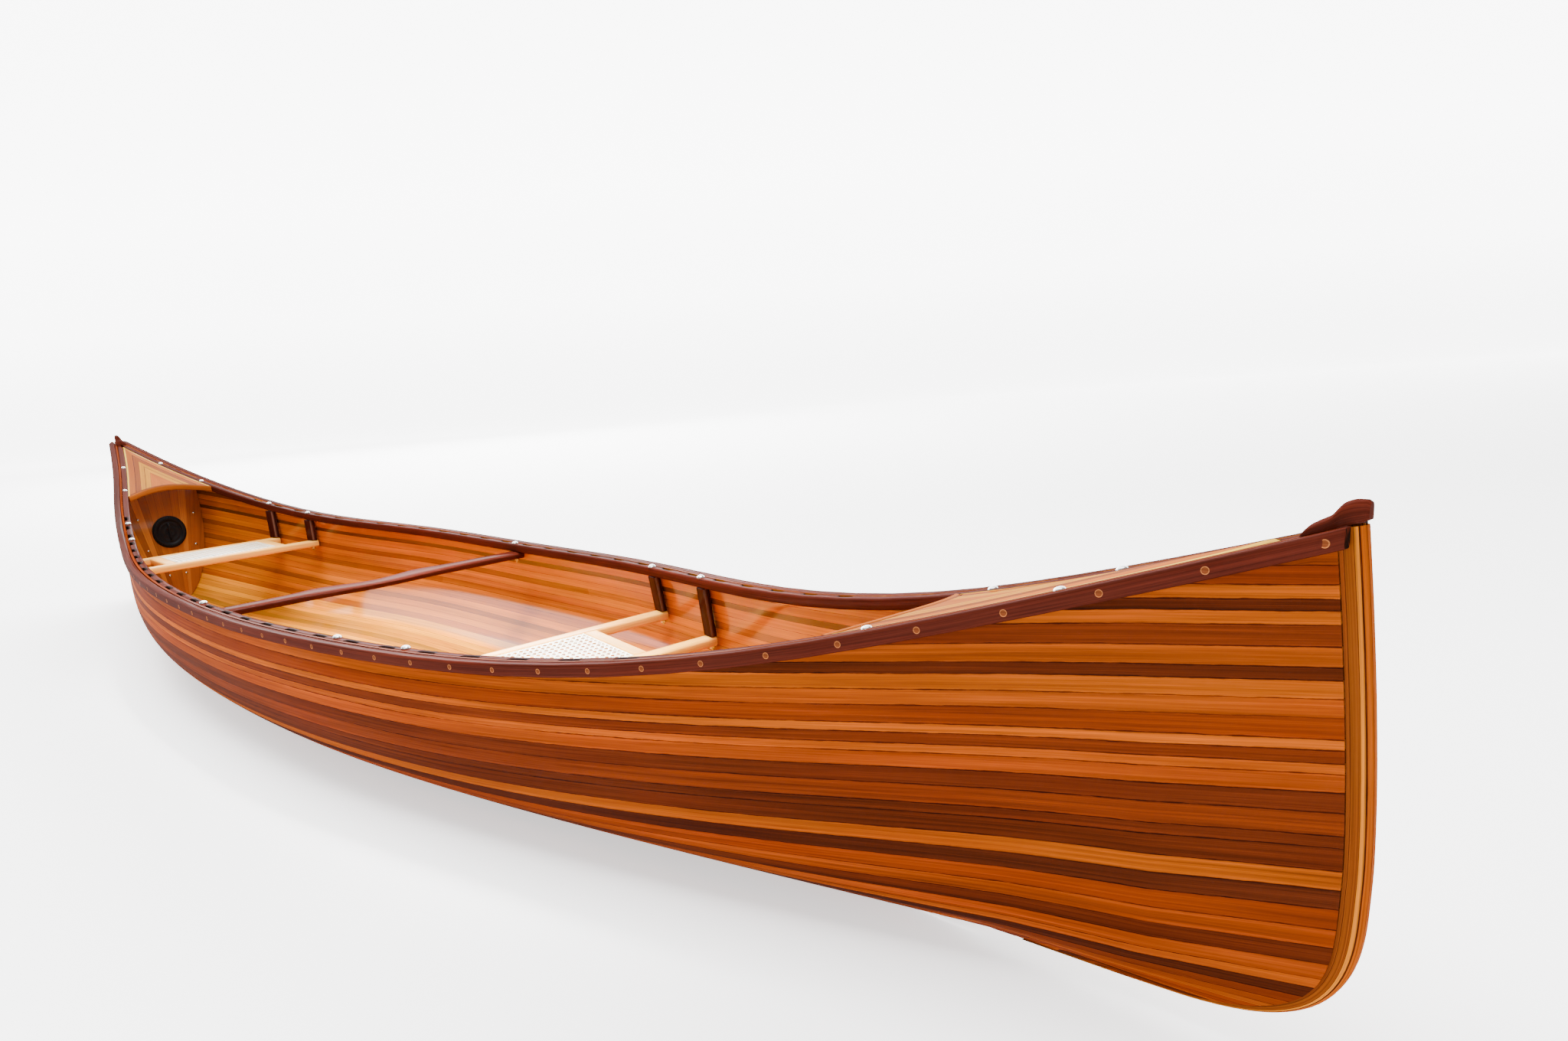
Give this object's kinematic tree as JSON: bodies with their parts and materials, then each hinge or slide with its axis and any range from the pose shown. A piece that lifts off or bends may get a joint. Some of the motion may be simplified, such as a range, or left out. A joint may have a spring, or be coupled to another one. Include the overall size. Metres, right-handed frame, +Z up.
{
  "type": "cedar strip canoe",
  "caption": "Open tandem canoe of varnished cedar strips with hardwood gunwales, inlaid decks, hung cane seats, carrying yoke and screw-in bulkhead hatches.",
  "frame": {"origin": "under the middle of the hull, on the level part of its bottom", "axes": "+X to the bow, +Y to port, +Z up"},
  "size_m": [4.88, 0.9318, 0.6558],
  "materials": {
    "cedar": "clear gloss varnish over cedar strips of mixed colour",
    "mahogany": "clear gloss varnish",
    "ash": "clear gloss varnish",
    "cane": "woven natural cane, left pale",
    "deck_cedar": "clear gloss varnish over inlaid bands",
    "black_plastic": "moulded, fine satin texture",
    "rubber": "matt",
    "stainless": "bright, domed heads"
  },
  "bodies": {
    "hull": {"bulkhead_bow": "cedar", "bulkhead_stern": "cedar", "deck_border_bow": "deck_cedar", "deck_border_stern": "deck_cedar", "deck_coaming_bow": "mahogany", "deck_coaming_stern": "mahogany", "deck_field_bow": "deck_cedar", "deck_field_stern": "deck_cedar", "hatch_ring_bow": "black_plastic", "hatch_ring_stern": "black_plastic", "inner_stem_bow": "ash", "inner_stem_stern": "ash", "inwale_port": "mahogany", "inwale_starboard": "mahogany", "outer_stem_bow": "cedar", "outer_stem_stern": "cedar", "outwale_port": "mahogany", "outwale_starboard": "mahogany", "planking_bottom_port": "cedar", "planking_bottom_starboard": "cedar", "planking_port": "cedar", "planking_starboard": "cedar", "seat_bow_cane": "cane", "seat_bow_front_bolt_port": "stainless", "seat_bow_front_bolt_starboard": "stainless", "seat_bow_front_hanger_port": "mahogany", "seat_bow_front_hanger_starboard": "mahogany", "seat_bow_front_rail": "ash", "seat_bow_rear_bolt_port": "stainless", "seat_bow_rear_bolt_starboard": "stainless", "seat_bow_rear_hanger_port": "mahogany", "seat_bow_rear_hanger_starboard": "mahogany", "seat_bow_rear_rail": "ash", "seat_bow_stretcher_port": "ash", "seat_bow_stretcher_starboard": "ash", "seat_stern_cane": "cane", "seat_stern_front_bolt_port": "stainless", "seat_stern_front_bolt_starboard": "stainless", "seat_stern_front_hanger_port": "mahogany", "seat_stern_front_hanger_starboard": "mahogany", "seat_stern_front_rail": "ash", "seat_stern_rear_bolt_port": "stainless", "seat_stern_rear_bolt_starboard": "stainless", "seat_stern_rear_hanger_port": "mahogany", "seat_stern_rear_hanger_starboard": "mahogany", "seat_stern_rear_rail": "ash", "seat_stern_stretcher_port": "ash", "seat_stern_stretcher_starboard": "ash", "stem_cap_bow": "mahogany", "stem_cap_stern": "mahogany", "yoke": "mahogany", "yoke_bolt_port": "stainless", "yoke_bolt_starboard": "stainless"},
    "bow_hatch_carrier": {"hatch_seal_bow": "rubber"},
    "bow_hatch_lid": {"hatch_lid_bow": "black_plastic"},
    "stern_hatch_carrier": {"hatch_seal_stern": "rubber"},
    "stern_hatch_lid": {"hatch_lid_stern": "black_plastic"}
  },
  "joints": [
    {"name": "bow_hatch_draw", "type": "slide", "parent": "hull", "child": "bow_hatch_carrier", "axis": [-1, 0, 0], "range_m": [0, 0.06]},
    {"name": "bow_hatch_turn", "type": "hinge", "parent": "bow_hatch_carrier", "child": "bow_hatch_lid", "pos_m": [1.915, 0, 0.297], "axis": [-1, 0, 0], "range_deg": [0, 360]},
    {"name": "stern_hatch_draw", "type": "slide", "parent": "hull", "child": "stern_hatch_carrier", "axis": [1, 0, 0], "range_m": [0, 0.06]},
    {"name": "stern_hatch_turn", "type": "hinge", "parent": "stern_hatch_carrier", "child": "stern_hatch_lid", "pos_m": [-1.915, 0, 0.297], "axis": [1, 0, 0], "range_deg": [0, 360]}
  ]
}
